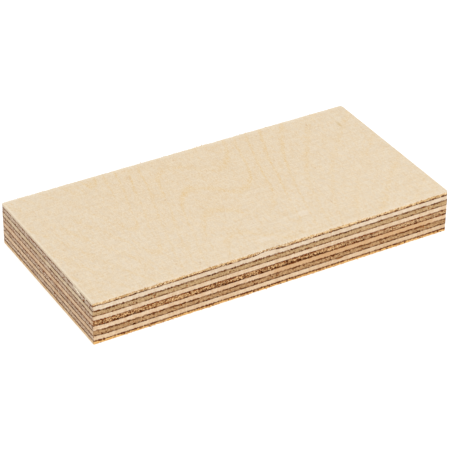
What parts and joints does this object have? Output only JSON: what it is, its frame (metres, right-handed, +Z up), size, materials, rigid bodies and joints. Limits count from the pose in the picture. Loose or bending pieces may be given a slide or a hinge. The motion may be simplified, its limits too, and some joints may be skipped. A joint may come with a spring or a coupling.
{
  "type": "plywood shim block",
  "caption": "Flat rectangular shim block sawn from cross-laminated birch plywood, with pale sanded faces and striped edges, for packing up or levelling a load.",
  "frame": {"origin": "centre of the underside, on the surface that the block lies on", "axes": "+X along the length, +Y across the width along the face grain, +Z up through the plies"},
  "size_m": [0.1, 0.05, 0.0117],
  "materials": {
    "birch_face": "sanded rotary-cut birch face veneer, unfinished, matt",
    "birch_lengthwise": "sawn birch veneer, grain along the block, matt",
    "birch_crosswise": "sawn birch veneer, grain across the block, darker end grain on the long sides, matt"
  },
  "bodies": {
    "root": {"top_face_veneer": "birch_face", "lengthwise_ply_2": "birch_lengthwise", "crosswise_ply_3": "birch_crosswise", "lengthwise_ply_4": "birch_lengthwise", "crosswise_ply_5": "birch_crosswise", "lengthwise_ply_6": "birch_lengthwise", "crosswise_ply_7": "birch_crosswise", "lengthwise_ply_8": "birch_lengthwise", "bottom_face_veneer": "birch_face"}
  },
  "joints": []
}
